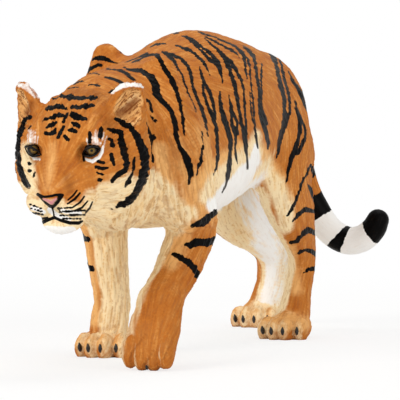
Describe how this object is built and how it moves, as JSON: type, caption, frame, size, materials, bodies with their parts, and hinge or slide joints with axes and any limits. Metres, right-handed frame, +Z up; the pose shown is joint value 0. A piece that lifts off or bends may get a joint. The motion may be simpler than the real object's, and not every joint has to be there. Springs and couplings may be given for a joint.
{
  "type": "tiger figurine",
  "caption": "Walking tiger figurine moulded in one piece, with its head low, one forepaw lifting and the tail curling up to its left.",
  "frame": {"origin": "bottom centre of the figure's bounding box, on the floor under the belly", "axes": "+Z up, the tiger walks along -Y, its left side is +X"},
  "size_m": [0.0366, 0.147, 0.0623],
  "materials": {
    "painted_fur": "painted soft plastic with orange fur, black stripes and cream belly"
  },
  "bodies": {
    "root": {"tiger": "painted_fur"}
  },
  "joints": []
}
